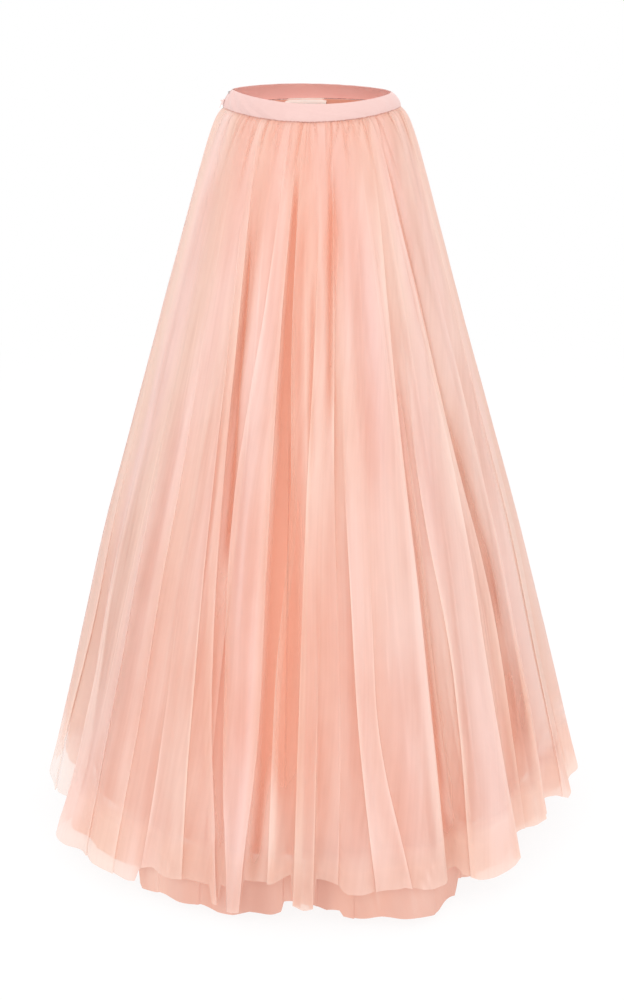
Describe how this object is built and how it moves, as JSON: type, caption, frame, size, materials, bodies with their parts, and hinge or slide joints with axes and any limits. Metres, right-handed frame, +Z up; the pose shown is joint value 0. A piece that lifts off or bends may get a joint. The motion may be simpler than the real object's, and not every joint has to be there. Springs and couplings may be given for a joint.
{
  "type": "tulle skirt",
  "caption": "Floor-length gathered skirt of layered tulle over a shorter satin lining, on a shaped satin waistband with a side hook and zip, standing out as worn.",
  "frame": {"origin": "middle of the waist opening, midway in height between the waistband's front and back top edges, where a wearer's waist holds the skirt", "axes": "+Z up, -Y the wearer's centre front, -X the wearer's right side, where the zip is"},
  "size_m": [0.904, 0.8737, 1.172],
  "materials": {
    "band_satin": "satin weave, pale pink",
    "facing_satin": "satin weave, salmon, on the inside of the band",
    "label_cream": "bare woven tape",
    "outer_tulle": "sheer net, blush",
    "under_tulle": "sheer net, blush",
    "lining_satin": "satin weave, salmon blush",
    "hook_metal": "bent wire",
    "zip_enamel": "enamelled in the band's pink"
  },
  "bodies": {
    "skirt": {"waistband_front": "band_satin", "waistband_back": "band_satin", "band_facing_front": "facing_satin", "band_facing_back": "facing_satin", "label": "label_cream", "tulle_outer_front": "outer_tulle", "tulle_outer_back": "outer_tulle", "tulle_under_front": "under_tulle", "tulle_under_back": "under_tulle", "lining_front": "lining_satin", "lining_back": "lining_satin", "hook": "hook_metal", "eye": "hook_metal", "zip_slider": "zip_enamel"},
    "pull_tab": {"zip_pull_tab": "zip_enamel"}
  },
  "joints": [
    {"name": "pull_tab_hinge", "type": "hinge", "parent": "skirt", "child": "pull_tab", "pos_m": [-0.13578, 0, -0.01072], "axis": [0, 1, 0], "range_deg": [0, 140]}
  ]
}
